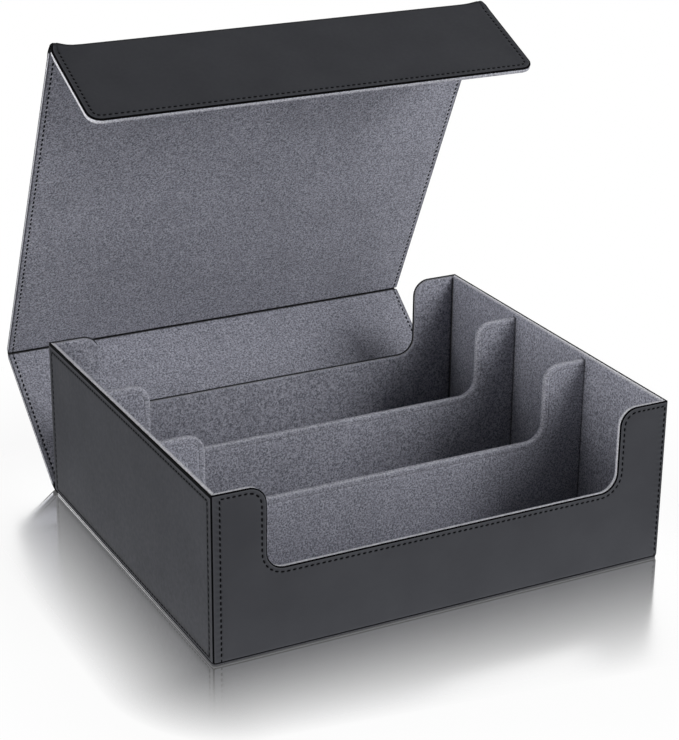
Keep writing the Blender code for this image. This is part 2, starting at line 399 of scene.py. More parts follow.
def skin(
    name,
    outline,
    closed,
    section,
    local,
    materials,
    sewn=True,
    tail=None,
    end_slope=0.0,
    highlight_strength=even_highlight,
):
    """Sheet of skin with its face at local Z = 0, shaped by the steps of its section.

    tail gives the corners that join an open outline's ends on the far side, where the sheet has no
    free edge, and end_slope how far each layer's ends draw in for its depth, as at a mitre. The last
    argument is a function of X that tells how much of the highlight painted at a fold shows there.
    """
    counts = counts_for(outline, closed, section, sewn)
    bm = bmesh.new()
    fold = bm.verts.layers.float.new("fold")

    def vert(x, y, depth, bent):
        new = bm.verts.new(local @ Vector((x, y, depth)))
        new[fold] = bent
        return new

    rings, tails = [], []
    for i, step in enumerate(section):
        end_inset = end_slope * step.depth * MM
        ring = []
        for x, y, seam, hole in ring_points(outline, closed, step, counts, end_inset):
            sunk = seam * (step.groove + step.pucker * hole) if sewn else step.groove
            bent = fold_at(step, seam, hole) if sewn else step.fold
            if bent > 0:
                bent *= highlight_strength(x)
            ring.append(vert(x, y, (step.depth + sunk) * MM, bent))
        rings.append(ring)
        at_foot = "foot" in (step.cover, section[i - 1].cover)
        corners = tail(end_inset) if tail and at_foot else ()
        tails.append([vert(x, y, step.depth * MM, 0.0) for x, y in corners])

    size = len(rings[0])
    first_end, last_end = [], []
    for i, step in enumerate(section):
        far = (i + 1) % len(section)
        first_end.append(rings[i][0])
        last_end.append(rings[i][-1])
        if step.cover != "foot":
            for j in range(size if closed else size - 1):
                k = (j + 1) % size
                face = bm.faces.new((rings[i][j], rings[i][k], rings[far][k], rings[far][j]))
                face.material_index = 1 if step.cover == "paint" else 0
            continue
        bm.faces.new(rings[i] + tails[i])
        bm.faces.new(rings[far] + tails[far])
        if tail:
            first_end += [tails[i][-1], tails[far][-1]]
            last_end += [tails[i][0], tails[far][0]]
        for j in range(len(tails[i]) - 1):
            bm.faces.new((tails[i][j], tails[i][j + 1], tails[far][j + 1], tails[far][j]))
    if tail:
        bm.faces.new(first_end)
        bm.faces.new(last_end)
    elif not closed:
        bm.faces.new(first_end + last_end[::-1])
    return finish_piece(name, bm, materials)


# PU leather, cast on an embossed release paper: half matt, with fine pebbles and soft clouds. Where
# it is bent hard over an edge it is paler, partly from wear and partly a painted highlight, and along
# a seam and a crease's crest painted shade makes it nearly black.
def leather_material(name, grey, cloud):
    material, tree, shader = new_material(name, {"IOR": 1.5, "Specular IOR Level": 0.08})
    place_on = add(tree, "TexCoord").outputs["Object"]
    bent = add(tree, "Attribute", attribute_name="fold").outputs["Fac"]
    clouds = add(tree, "TexNoise", {"Vector": place_on, "Scale": 1 / CLOUD, "Detail": 3.0})
    cloud_share = add(tree, "MapRange", {"Value": clouds.outputs["Fac"], 1: 0.35, 2: 0.65, 3: 0.0, 4: 0.5})
    pebbles = add(tree, "TexVoronoi", {"Vector": place_on, "Scale": 1 / PEBBLE}, feature="SMOOTH_F1")
    wrinkles = add(tree, "TexNoise", {"Vector": place_on, "Scale": 1 / CREASE_GRAIN, "Detail": 4.0})
    even_colour = add(
        tree,
        "Mix",
        {"Factor": cloud_share.outputs["Result"], 6: linear(grey), 7: linear(cloud)},
        data_type="RGBA",
    )
    # Painted highlight, partly wear, where the fold value is above 0, and painted shade below 0
    wear_highlight_share = add(tree, "MapRange", {"Value": bent, 3: 0.0, 4: 0.6})
    wear_highlight_colour = add(
        tree,
        "Mix",
        {"Factor": wear_highlight_share.outputs["Result"], 6: even_colour.outputs[2], 7: linear(LEATHER_WORN_HIGHLIGHT)},
        data_type="RGBA",
    )
    leather_shade_share = add(tree, "MapRange", {"Value": bent, 1: 0.0, 2: -1.0, 3: 0.0, 4: 0.8})
    leather_colour = add(
        tree,
        "Mix",
        {"Factor": leather_shade_share.outputs["Result"], 6: wear_highlight_colour.outputs[2], 7: linear(LEATHER_SHADE)},
        data_type="RGBA",
    )
    gloss = add(tree, "MapRange", {"Value": wrinkles.outputs["Fac"], 1: 0.3, 2: 0.7, 3: 0.5, 4: 0.62})
    pebble_relief = add(
        tree, "Bump", {"Height": pebbles.outputs["Distance"], "Strength": 0.25, "Distance": 0.05 * MM}
    )
    wrinkle_relief = add(
        tree,
        "Bump",
        {
            "Height": wrinkles.outputs["Fac"],
            "Strength": 0.2,
            "Distance": 0.12 * MM,
            "Normal": pebble_relief.outputs["Normal"],
        },
    )
    tree.links.new(leather_colour.outputs[2], shader.inputs["Base Color"])
    tree.links.new(gloss.outputs["Result"], shader.inputs["Roughness"])
    tree.links.new(wrinkle_relief.outputs["Normal"], shader.inputs["Normal"])
    return material


pu_leather = leather_material("PU leather, embossed", LEATHER_GREY, LEATHER_CLOUD)
# The cover has a darker copy of the walls' leather: painted shade for the flap, on which little light
# falls from above
shaded_cover_leather = leather_material("PU leather, embossed, painted shade", COVER_SHADED_GREY, COVER_SHADED_CLOUD)

# Edge paint: black acrylic, rolled on thick over the cut edge of the leather
edge_paint, tree, shader = new_material(
    "acrylic edge paint", {"Base Color": linear(EDGE_BLACK), "IOR": 1.49, "Specular IOR Level": 0.02}
)
place_on = add(tree, "TexCoord").outputs["Object"]
ripples = add(tree, "TexNoise", {"Vector": place_on, "Scale": 1 / PAINT_RIPPLE, "Detail": 2.0})
paint_gloss = add(tree, "MapRange", {"Value": ripples.outputs["Fac"], 3: 0.42, 4: 0.6})
paint_relief = add(tree, "Bump", {"Height": ripples.outputs["Fac"], "Strength": 0.3, "Distance": 0.1 * MM})
tree.links.new(paint_gloss.outputs["Result"], shader.inputs["Roughness"])
tree.links.new(paint_relief.outputs["Normal"], shader.inputs["Normal"])

LEATHER = (pu_leather, edge_paint)
SHADED_COVER_LEATHER = (shaded_cover_leather, edge_paint)

spine_hinge, lid_hinge, flap_hinge = (Vector(joint["pos_m"]) for joint in frame["joints"])
ROLL_R = spine_hinge.z
BASE_END = spine_hinge.y - CREASE_REACH

# Backing of the base leather: a woven cotton that shows as a pale line at its cut edge
BACKING_WHITE = "f0f0f2"
BACKING_FRONT_GREY = "4a4a4e"
BACKING_YARN = 0.5 * MM
backing, tree, shader = new_material(
    "cotton backing, woven", {"Roughness": 0.9, "Specular IOR Level": 0.2}
)
place_on = add(tree, "TexCoord").outputs["Object"]
# It is grey at the front and white at the rear
toward_rear = add(tree, "SeparateXYZ", {"Vector": place_on}).outputs["Y"]
rearward_share = add(tree, "MapRange", {"Value": toward_rear, 1: -HALF_D, 2: HALF_D})
backing_colour = add(
    tree,
    "Mix",
    {"Factor": rearward_share.outputs["Result"], 6: linear(BACKING_FRONT_GREY), 7: linear(BACKING_WHITE)},
    data_type="RGBA",
)
tree.links.new(backing_colour.outputs[2], shader.inputs["Base Color"])
yarns = add(tree, "TexNoise", {"Vector": place_on, "Scale": 1 / BACKING_YARN, "Detail": 2.0})
yarn_relief = add(tree, "Bump", {"Height": yarns.outputs["Fac"], "Strength": 0.3, "Distance": 0.05 * MM})
tree.links.new(yarn_relief.outputs["Normal"], shader.inputs["Normal"])

# Shade is painted on the underside along the edge, where the box meets the table
BASE_SECTION = (
    Step(8.00, 8.0, 0.00, 0.0, 0.0, 0.0, "skin"),
    Step(0.60, 0.6, 0.00, 0.0, 0.0, -0.9, "skin"),
    Step(0.20, 0.2, 0.12, 0.0, 0.0, -0.9, "skin"),
    Step(0.02, 0.0, 0.50, 0.0, 0.0, 0.0, "paint"),
    Step(0.00, 0.0, 0.96, 0.0, 0.0, 0.0, "skin"),
    Step(0.05, 0.0, 1.00, 0.0, 0.0, 0.0, "skin"),
    Step(8.00, 8.0, 1.00, 0.0, 0.0, 0.0, "foot"),
)
base_outline = (
    (-HALF_W, BASE_END, 0.0, "plain"),
    (-HALF_W, -HALF_D, BASE_CORNER_R, "plain"),
    (HALF_W, -HALF_D, BASE_CORNER_R, "plain"),
    (HALF_W, BASE_END, 0.0, "plain"),
)
base_skin = skin(
    "base_leather_sheet", base_outline, False, BASE_SECTION, Matrix(), (shaded_cover_leather, backing), sewn=False
)
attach(base_skin, "tray")
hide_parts("base_leather")


# Walls: each board has its leather glued on before the tray is put together, with the U-cut for
# fingers in the front and rear ones. The leathers meet in a dark groove at the corners.
EAR_W = 36 * MM
EAR_R = 12 * MM
SILL_H = 56 * MM
SILL_R = 12 * MM
WALL_FOOT = 1.1 * MM
WALL_CORNER_R = 1.6 * MM
FRONT_SEAM = 3.4
END_SEAM = 5.2
CORNER_SEAM = 5.6
NOTCHED_SECTION = leather_section(FRONT_SEAM, CORNER_SEAM, 0.85)
END_SECTION = leather_section(END_SEAM, CORNER_SEAM, 2.0, pucker=0.08, flank=0.9)


def u_cut(half, top, kind, last="mitre"):
    """Corners of a top line with the U-cut, from right to left. kind is that of its edges."""
    ear_x = HALF_W - EAR_W
    return (
        (half, top, 0.0, kind),
        (ear_x, top, EAR_R, kind),
        (ear_x, SILL_H, SILL_R, kind),
        (-ear_x, SILL_H, SILL_R, kind),
        (-ear_x, top, EAR_R, kind),
        (-half, top, 0.0, last),
    )


def wall_outline(half, notched, last):
    """A wall's leather, anticlockwise from its lower left corner, seen from inside the box.

    An end wall's seam runs close to its foot, and a wall with the U-cut has none there.
    """
    foot = (
        (-half, WALL_FOOT, WALL_CORNER_R, "plain" if notched else "near mitre"),
        (half, WALL_FOOT, WALL_CORNER_R, "mitre"),
    )
    if notched:
        return foot + u_cut(half, BOX_H, "rim", last)
    return foot + ((half, BOX_H, 0.0, "rim"), (-half, BOX_H, 0.0, "mitre"))


def wall_frame(index, face):
    """Local X along the wall, Y up it and Z from its leather to its lining."""
    turn = Euler((pi / 2, 0.0, pi + index * pi / 2))
    return Matrix.Translation(face) @ turn.to_matrix().to_4x4()


# The front wall's seam lies nearer to the edge at its right end
WALLS = (
    ("front_wall", HALF_W, wall_frame(0, (0.0, -HALF_D, 0.0)), True, "near mitre"),
    ("right_wall", HALF_D, wall_frame(1, (HALF_W, 0.0, 0.0)), False, "mitre"),
    ("rear_wall", HALF_W, wall_frame(2, (0.0, HALF_D, 0.0)), True, "mitre"),
    ("left_wall", HALF_D, wall_frame(3, (-HALF_W, 0.0, 0.0)), False, "mitre"),
)
for wall, half, local, notched, last in WALLS:
    sheet = skin(
        f"{wall}_leather_sheet",
        wall_outline(half, notched, last),
        True,
        NOTCHED_SECTION if notched else END_SECTION,
        local,
        LEATHER,
    )
    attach(sheet, "tray")
    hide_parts(f"{wall}_leather")


# Seams: lock stitch in black bonded polyester thread, sewn through the leather 2 to 6 mm inside
# its edges before the lining goes in. Each stitch dives into its two needle holes, and is thinner
# and deeper there than at the top of its arch.
THREAD_R = 0.74 * MM
THREAD_END = 0.3
THREAD_DIVE = 0.88 * MM
THREAD_ARCH = 0.36 * MM
HOLE_GAP = 0.04
THREAD_SIDES = 8
THREAD_STEPS = 6
THREAD_BLACK = "060608"
PLY = 0.8 * MM

# Bonded polyester thread: black with a dull shine, and the slant of its plies
thread, tree, shader = new_material(
    "bonded polyester thread", {"Base Color": linear(THREAD_BLACK), "Specular IOR Level": 0.03}
)
place_on = add(tree, "TexCoord").outputs["Object"]
plies = add(tree, "TexNoise", {"Vector": place_on, "Scale": 1 / PLY, "Detail": 3.0})
thread_gloss = add(tree, "MapRange", {"Value": plies.outputs["Fac"], 3: 0.45, 4: 0.75})
ply_relief = add(tree, "Bump", {"Height": plies.outputs["Fac"], "Strength": 0.5, "Distance": 0.1 * MM})
tree.links.new(thread_gloss.outputs["Result"], shader.inputs["Roughness"])
tree.links.new(ply_relief.outputs["Normal"], shader.inputs["Normal"])


def needle_holes(outline, closed, section):
    """Pairs of points (x, y) that the stitches of an outline's seam run between."""
    pairs = []
    for at, length, _, sewn in runs_of(outline, closed, seam_step(section), 0.0):
        stitches = stitches_in(length) if sewn else 0
        for i in range(stitches):
            pairs.append((at(i / stitches), at((i + 1) / stitches)))
    return pairs


def sew(name, pairs, local, body, face=0.0, inward=1):
    """Thread of a seam whose stitches lie in a groove of the skin at local Z = face.

    inward is 1 where the skin's material lies at a larger local Z, and -1 where at a smaller one.
    """
    bm = bmesh.new()
    for start, end in pairs:
        start = Vector((*start[:2], 0.0))
        end = Vector((*end[:2], 0.0))
        heading = (end - start).normalized()
        sideways = Vector((-heading.y, heading.x, 0.0))
        rings = []
        for i in range(THREAD_STEPS + 1):
            share = i / THREAD_STEPS
            arch = sin(pi * share) ** 0.5 if 0 < i < THREAD_STEPS else 0.0
            radius = THREAD_R * (THREAD_END + (1 - THREAD_END) * arch)
            depth = THREAD_DIVE - THREAD_ARCH * arch
            centre = start.lerp(end, HOLE_GAP + (1 - 2 * HOLE_GAP) * share)
            ring = []
            for j in range(THREAD_SIDES):
                angle = 2 * pi * j / THREAD_SIDES
                point = centre + sideways * (radius * cos(angle))
                point.z = face + inward * (depth + radius * sin(angle))
                ring.append(bm.verts.new(local @ point))
            rings.append(ring)
        for near, far in zip(rings, rings[1:]):
            for j in range(THREAD_SIDES):
                k = (j + 1) % THREAD_SIDES
                bm.faces.new((near[j], near[k], far[k], far[j]))
        bm.faces.new(rings[0])
        bm.faces.new(rings[-1])
    piece = finish_piece(name, bm, (thread,))
    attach(piece, body)
    return piece


for wall, half, local, notched, last in WALLS:
    section = NOTCHED_SECTION if notched else END_SECTION
    pairs = needle_holes(wall_outline(half, notched, last), True, section)
    if notched:
        for x, kind in ((-half, last), (half, "mitre")):
            x -= drawn_in(seam_step(section), kind) * (1 if x > 0 else -1)
            foot = WALL_FOOT + FRONT_SEAM * MM
            pairs.append(((x, foot), (x, foot - STITCH)))
    sew(f"{wall}_thread", pairs, local, "tray")


# Wall linings: grey microsuede glued to the boards' inner sides and turned over their top edges,
# up to the back of the leather. A highlight is painted on the turned edge, so that it looks paler there.
LINING_T = 0.6 * MM
LINING_FOOT = 4.7 * MM
LINING_MITRE = 1.07
SUEDE_GREY = "7f808a"
SUEDE_DARK = "575861"
SUEDE_LIGHT = "abacb7"
SUEDE_RIM_HIGHLIGHT = "f0f0f4"
SUEDE_SHADE = "08080a"
SUEDE_SHEEN = "d8d9e0"
FIBRE_TUFT = 1.15 * MM
NAP_PATCH = 7 * MM
NAP_SWEEP = 42 * MM
CORNER_REACH = 2.5 * MM
CORNER_SHADE = 0.3

# The rear wall's painted edge stands further above its lining, in mm, and outlines it in black
REAR_RIM_DROP = 0.45
# How strong the highlight painted along each wall's rim is
RIM_HIGHLIGHT = {"front_wall": 0.6, "right_wall": 1.0, "rear_wall": 0.15, "left_wall": 1.0}
WALL_LINING_SECTION = (
    Step(6.00, 6.0, 4.40, 0.0, 0.0, 0.0, "skin"),
    Step(1.80, 1.6, 4.40, 0.0, 0.0, 0.0, "skin"),
    Step(1.15, 0.8, 4.38, 0.0, 0.0, 0.0, "skin"),
    Step(0.76, 0.4, 4.22, 0.0, 0.0, 0.1, "skin"),
    Step(0.48, 0.1, 3.92, 0.0, 0.0, 0.2, "skin"),
    Step(0.37, 0.0, 3.50, 0.0, 0.0, 0.35, "skin"),
    Step(0.35, 0.0, 2.40, 0.0, 0.0, 0.9, "skin"),
    Step(0.38, 0.0, 1.45, 0.0, 0.0, 1.0, "skin"),
    Step(0.55, 0.2, 1.16, 0.0, 0.0, 0.0, "skin"),
    Step(0.95, 0.6, 1.16, 0.0, 0.0, 0.0, "skin"),
    Step(0.95, 0.6, 3.80, 0.0, 0.0, 0.0, "skin"),
    Step(6.00, 6.0, 3.80, 0.0, 0.0, 0.0, "foot"),
)

# Microsuede: split microfibre with a brushed nap, matt, mottled where the nap lies this way and
# that, with a pale sheen at a low angle. A highlight is painted into its colour where the fold value
# is above 0, and shade where it is below.
microsuede, tree, shader = new_material(
    "microsuede, brushed",
    {
        "Roughness": 0.95,
        "IOR": 1.45,
        "Specular IOR Level": 0.15,
        "Sheen Weight": 0.08,
        "Sheen Roughness": 0.5,
        "Sheen Tint": linear(SUEDE_SHEEN),
    },
)
place_on = add(tree, "TexCoord").outputs["Object"]
bent = add(tree, "Attribute", attribute_name="fold").outputs["Fac"]
tufts = add(
    tree, "TexNoise", {"Vector": place_on, "Scale": 1 / FIBRE_TUFT, "Detail": 3.0, "Roughness": 0.6}
)
patches = add(tree, "TexNoise", {"Vector": place_on, "Scale": 1 / NAP_PATCH, "Detail": 3.0})
sweeps = add(tree, "TexNoise", {"Vector": place_on, "Scale": 1 / NAP_SWEEP, "Detail": 2.0})
tuft_share = add(tree, "MapRange", {"Value": tufts.outputs["Fac"], 1: 0.36, 2: 0.64, 3: 0.0, 4: 1.0})
tuft_colour = add(
    tree,
    "Mix",
    {"Factor": tuft_share.outputs["Result"], 6: linear(SUEDE_DARK), 7: linear(SUEDE_LIGHT)},
    data_type="RGBA",
)
patch_share = add(tree, "MapRange", {"Value": patches.outputs["Fac"], 1: 0.35, 2: 0.65, 3: 0.0, 4: 0.3})
nap_colour = add(
    tree,
    "Mix",
    {"Factor": patch_share.outputs["Result"], 6: tuft_colour.outputs[2], 7: linear(SUEDE_GREY)},
    data_type="RGBA",
)
sweep_gain = add(tree, "MapRange", {"Value": sweeps.outputs["Fac"], 1: 0.3, 2: 0.7, 3: 0.93, 4: 1.06})
swept_colour = add(
    tree,
    "VectorMath",
    {0: nap_colour.outputs[2], "Scale": sweep_gain.outputs["Result"]},
    operation="SCALE",
)
# Painted highlight on the turned rims, mixed in by the fold value and broken up by the tufts
highlight_strength = add(tree, "MapRange", {"Value": tufts.outputs["Fac"], 1: 0.36, 2: 0.64, 3: 0.6, 4: 1.0})
highlight_amount = add(tree, "Math", {0: bent, 1: highlight_strength.outputs["Result"]}, operation="MULTIPLY")
highlight_share = add(tree, "MapRange", {"Value": highlight_amount.outputs[0]})
highlighted_colour = add(
    tree,
    "Mix",
    {"Factor": highlight_share.outputs["Result"], 6: swept_colour.outputs["Vector"], 7: linear(SUEDE_RIM_HIGHLIGHT)},
    data_type="RGBA",
)
# Painted shade where the fold value is below 0: in creases, along seams and over the cover's sides
suede_shade_share = add(tree, "MapRange", {"Value": bent, 1: 0.0, 2: -1.0})
suede_colour = add(
    tree,
    "Mix",
    {"Factor": suede_shade_share.outputs["Result"], 6: highlighted_colour.outputs[2], 7: linear(SUEDE_SHADE)},
    data_type="RGBA",
)
# Painted shade: where two linings meet, the colour darkens by how closed in the corner is, into a dark
# line
open_share = add(tree, "AmbientOcclusion", {"Distance": CORNER_REACH}, samples=8).outputs["AO"]
corner_shade_gain = add(tree, "MapRange", {"Value": open_share, 1: 0.5, 2: 0.8, 3: CORNER_SHADE, 4: 1.0})
corner_shaded_colour = add(
    tree,
    "VectorMath",
    {0: suede_colour.outputs[2], "Scale": corner_shade_gain.outputs["Result"]},
    operation="SCALE",
)
nap_relief = add(tree, "Bump", {"Height": tufts.outputs["Fac"], "Strength": 0.55, "Distance": 0.25 * MM})
tree.links.new(corner_shaded_colour.outputs["Vector"], shader.inputs["Base Color"])
tree.links.new(nap_relief.outputs["Normal"], shader.inputs["Normal"])


def wall_lining(name, half, local, notched, lowered, highlight_strength):
    """Lining of one wall: only its top line is a free edge, its ends are mitred.

    lowered is how far, in mm, its rim lies below that of the other walls, and the last argument how
    strong the highlight painted on its rim is.
    """
    section = [
        step._replace(inset=step.inset + lowered, fold=step.fold * highlight_strength) for step in WALL_LINING_SECTION
    ]
    top = u_cut(half, BOX_H, "rim") if notched else ((half, BOX_H, 0.0, "rim"), (-half, BOX_H, 0.0, "rim"))

    def foot(end_inset):
        return ((-half + end_inset, LINING_FOOT), (half - end_inset, LINING_FOOT))
    return skin(
        name, top, False, section, local, (microsuede,), sewn=False, tail=foot, end_slope=LINING_MITRE
    )


for wall, half, local, notched, _ in WALLS:
    lowered = REAR_RIM_DROP if wall == "rear_wall" else 0.0
    lining = wall_lining(f"{wall}_lining_sheet", half, local, notched, lowered, RIM_HIGHLIGHT[wall])
    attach(lining, "tray")
    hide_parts(f"{wall}_lining")


# Floor lining: one piece of the same microsuede, glued over the base board inside the walls,
# with a soft cut edge all round.
floor_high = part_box("floor_lining")[1]
FLOOR_SECTION = (
    Step(5.0, 5.0, 0.00, 0.0, 0.0, 0.0, "skin"),
    Step(0.5, 0.5, 0.00, 0.0, 0.0, 0.0, "skin"),
    Step(0.1, 0.1, 0.10, 0.0, 0.0, 0.0, "skin"),
    Step(0.0, 0.0, 0.30, 0.0, 0.0, 0.0, "skin"),
    Step(0.0, 0.0, 0.60, 0.0, 0.0, 0.0, "skin"),
    Step(5.0, 5.0, 0.60, 0.0, 0.0, 0.0, "foot"),
)
# Turned over about X, so that the face looks up and the sheet's depth goes down
floor_frame = Matrix.Translation((0.0, 0.0, floor_high.z)) @ Matrix.Rotation(pi, 4, "X")
floor_outline = (
    (-floor_high.x, -floor_high.y, 0.0, "plain"),
    (floor_high.x, -floor_high.y, 0.0, "plain"),
    (floor_high.x, floor_high.y, 0.0, "plain"),
    (-floor_high.x, floor_high.y, 0.0, "plain"),
)
floor_sheet = skin(
    "floor_lining_sheet", floor_outline, True, FLOOR_SECTION, floor_frame, (microsuede,), sewn=False
)
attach(floor_sheet, "tray")
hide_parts("floor_lining")


# Partitions: two boards in sleeves of microsuede that fold over the top line and are glued down
# both sides. The fold stands a little full over the board's edge, above a pressed crease line.
PARTITION_DROP = 3 * MM
# Its fold values paint a faint highlight over the fold and a little shade into the crease line
PARTITION_FACE = (
    Step(7.00, 7.0, 0.00, 0.00, 0.0, 0.0, "skin"),
    Step(4.60, 4.6, 0.00, 0.00, 0.0, 0.0, "skin"),
    Step(4.10, 4.1, 0.00, 0.24, 0.0, -0.35, "skin"),
    Step(3.60, 3.6, 0.00, 0.04, 0.0, 0.1, "skin"),
    Step(2.40, 2.4, 0.00, -0.10, 0.0, 0.0, "skin"),
    Step(1.10, 1.1, 0.00, 0.02, 0.0, 0.05, "skin"),
    Step(0.45, 0.4, 0.28, 0.00, 0.0, 0.15, "skin"),
    Step(0.10, 0.1, 0.85, 0.00, 0.0, 0.15, "skin"),
    Step(0.00, 0.0, 1.60, 0.00, 0.0, 0.1, "skin"),
)


def sleeve_section(thickness):
    """Near face, fold, far face, and back through the inside of the sleeve. thickness is in mm."""
    far_face = []
    for step in reversed(PARTITION_FACE):
        far_face.append(step._replace(depth=thickness - step.depth, groove=-step.groove))
    far_face[-1] = far_face[-1]._replace(cover="foot")
    lining = LINING_T / MM
    inside = (
        Step(7.0, 7.0, thickness - lining, 0.0, 0.0, 0.0, "skin"),
        Step(lining, lining, thickness - lining, 0.0, 0.0, 0.0, "skin"),
        Step(lining, lining, lining, 0.0, 0.0, 0.0, "skin"),
        Step(7.0, 7.0, lining, 0.0, 0.0, 0.0, "foot"),
    )
    return PARTITION_FACE + tuple(far_face) + inside


for index in (1, 2):
    node = f"partition_{index}_lining"
    low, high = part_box(node)

    def partition_foot(end_inset, half=high.x, foot=low.z):
        return ((-half, foot), (half, foot))
    sleeve = skin(
        f"partition_{index}_sleeve",
        u_cut(high.x, BOX_H - PARTITION_DROP, "plain"),
        False,
        sleeve_section((high.y - low.y) / MM),
        wall_frame(0, (0.0, low.y, 0.0)),
        (microsuede,),
        sewn=False,
        tail=partition_foot,
    )
    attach(sleeve, "tray")
    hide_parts(node)


# Cover panels: spine, lid and flap, each a board between leather and lining, sewn along its free
# edges. The leather's cut edge is painted black, and the lining turns over beside it.
COVER_T = 4.0 * MM
FLAP_L = 75 * MM
FLAP_R = 9 * MM
# The open flap's turn from level, counted from the rear over the top to the front and down
FLAP_RISE = radians(204)
PANEL_SEAM = 3.2 * MM
FLAP_SEAM = 4.4 * MM

# The lining's fold at its six steps from the face over the side to the turned edge. A highlight is
# painted all the way on the flap. On the spine and the lid shade is painted over the sides, and a
# highlight only beside the paint.
FLAP_FOLDS = (0.3, 0.5, 0.6, 0.7, 0.8, 0.4)
SIDE_FOLDS = (-0.3, -0.8, -0.9, 0.1, 0.9, 0.9)


def cover_lining_section(seam, folds):
    """Section of a panel's lining, with a seam at that distance, in mm, from a free edge."""
    return (
        Step(8.00, 8.0, 4.00, 0.00, 0.00, 0.0, "skin"),
        Step(seam + 1.50, 5.9, 4.00, 0.00, 0.00, 0.0, "skin"),
        Step(seam + 0.65, 5.0, 4.00, -0.12, 0.10, -0.2, "skin"),
        Step(seam, 4.4, 4.00, -0.36, 0.26, -0.8, "skin"),
        Step(seam - 0.65, 3.8, 4.00, -0.12, 0.10, -0.2, "skin"),
        Step(2.35, 2.9, 4.00, 0.00, 0.00, 0.0, "skin"),
        Step(1.50, 1.5, 4.00, 0.00, 0.00, 0.0, "skin"),
        Step(0.80, 0.8, 3.95, 0.00, 0.00, folds[0], "skin"),
        Step(0.36, 0.4, 3.74, 0.00, 0.00, folds[1], "skin"),
        Step(0.08, 0.1, 3.34, 0.00, 0.00, folds[2], "skin"),
        Step(0.00, 0.0, 2.60, 0.00, 0.00, folds[3], "skin"),
        Step(0.02, 0.0, 1.60, 0.00, 0.00, folds[4], "skin"),
        Step(0.20, 0.2, 1.14, 0.00, 0.00, folds[5], "skin"),
        Step(0.60, 0.6, 1.14, 0.00, 0.00, 0.0, "skin"),
        Step(0.60, 0.6, 3.40, 0.00, 0.00, 0.0, "skin"),
        Step(8.00, 8.0, 3.40, 0.00, 0.00, 0.0, "foot"),
    )


FLAP_LEATHER_SECTION = leather_section(FLAP_SEAM / MM, FLAP_SEAM / MM, 1.3)
FLAP_LINING_SECTION = cover_lining_section(FLAP_SEAM / MM, FLAP_FOLDS)
PANEL_LEATHER_SECTION = leather_section(PANEL_SEAM / MM, PANEL_SEAM / MM, 1.2)
PANEL_LINING_SECTION = cover_lining_section(PANEL_SEAM / MM, SIDE_FOLDS)

# One line across the cover: face is the middle of its outer leather, inward the direction through
# it, away the distance from the nearest crease, squeeze how far the lining is pressed down there,
# seam and hole as for the walls.
Station = namedtuple("Station", "face inward away squeeze seam hole")

# Columns of a panel's faces further in than its section, from its side edges
INNER_COLUMNS = (10 * MM, 12.5 * MM, 16 * MM, 22 * MM)
# Depth in mm of the lining's turned edge, and of its face where a crease squeezes it
LINING_LOW = 1.14
CREASED_FACE = 1.8
# Painted shade near a crease: on the lining between these distances, on the leather's crest within the
# last
SHADE_FROM = 3.0 * MM
SHADE_TO = 2.1 * MM
CREST_SHADE_REACH = 1.2 * MM
# Where the ends of a crease flare outwards, and how near to it its sides are pulled in
FLARE_CENTRE = 3 * MM
FLARE_WIDTH = 8 * MM
PULL_REACH = 4.5 * MM


def span(name, stations, section, materials, flare=(0.0, 0.0), pull=0.0, far_section=None):
    """Strip of the cover's leather or lining along its stations, with both side edges free.

    flare lifts a crease outwards at its left and right end, and pull draws its side edges in.
    far_section is the section at the last station, where it differs from that at the first.
    """
    ends = list(zip(section, far_section or section))
    columns = [(-1, step.inset * MM, far.inset * MM, step) for step, far in reversed(ends)]
    for side, inset in [(-1, i) for i in INNER_COLUMNS] + [(1, i) for i in INNER_COLUMNS[::-1]]:
        columns.append((side, inset, inset, section[0]))
    columns += [(1, step.inset * MM, far.inset * MM, step) for step, far in ends]
    for side, inset in [(1, i) for i in INNER_COLUMNS] + [(-1, i) for i in INNER_COLUMNS[::-1]]:
        columns.append((side, inset, inset, section[-1]))
    is_lining = section[0].depth > section[-1].depth
    bm = bmesh.new()
    fold = bm.verts.layers.float.new("fold")
    rows = []
    for i, station in enumerate(stations):
        share = i / (len(stations) - 1)
        crease = max(0.0, 1 - station.away / CREASE_REACH) ** 2
        drawn = pull * max(0.0, 1 - station.away / PULL_REACH) ** 2
        row = []
        for side, near_inset, far_inset, step in columns:
            inset = near_inset + (far_inset - near_inset) * share
            depth = step.depth + station.seam * (step.groove + step.pucker * station.hole)
            if is_lining:
                full = section[0].depth
                low = full + (CREASED_FACE - full) * station.squeeze
                depth = LINING_LOW + (depth - LINING_LOW) * (low - LINING_LOW) / (full - LINING_LOW)
            edge = HALF_W - inset - drawn * max(0.0, 1 - inset / CREASE_REACH)
            lift = flare[side > 0] * crease * exp(-((inset - FLARE_CENTRE) / FLARE_WIDTH) ** 2)
            point = station.face + station.inward * (depth * MM - lift)
            vert = bm.verts.new((side * edge, point.y, point.z))
            # Painted shade: the lining darkens towards a crease, and the leather along the crest of its
            # roll
            if is_lining:
                dark = min(1.0, max(0.0, (SHADE_FROM - station.away) / (SHADE_FROM - SHADE_TO)))
            else:
                dark = max(0.0, 1 - station.away / CREST_SHADE_REACH)
            vert[fold] = fold_at(step, station.seam, station.hole) * (1 - dark) - dark
            row.append(vert)
        rows.append(row)
    covers = [step.cover for step in section[:-1]]
    middle = ["skin"] * (2 * len(INNER_COLUMNS) + 1)
    covers = covers[::-1] + middle + covers + middle
    size = len(columns)
    for near, far in zip(rows, rows[1:]):
        for j in range(size):
            k = (j + 1) % size
            face = bm.faces.new((near[j], near[k], far[k], far[j]))
            face.material_index = 1 if covers[j] == "paint" else 0
    bm.faces.new(rows[0])
    bm.faces.new(rows[-1])
    return finish_piece(name, bm, materials)


def direction(rise):
    return Vector((0.0, cos(rise), sin(rise)))


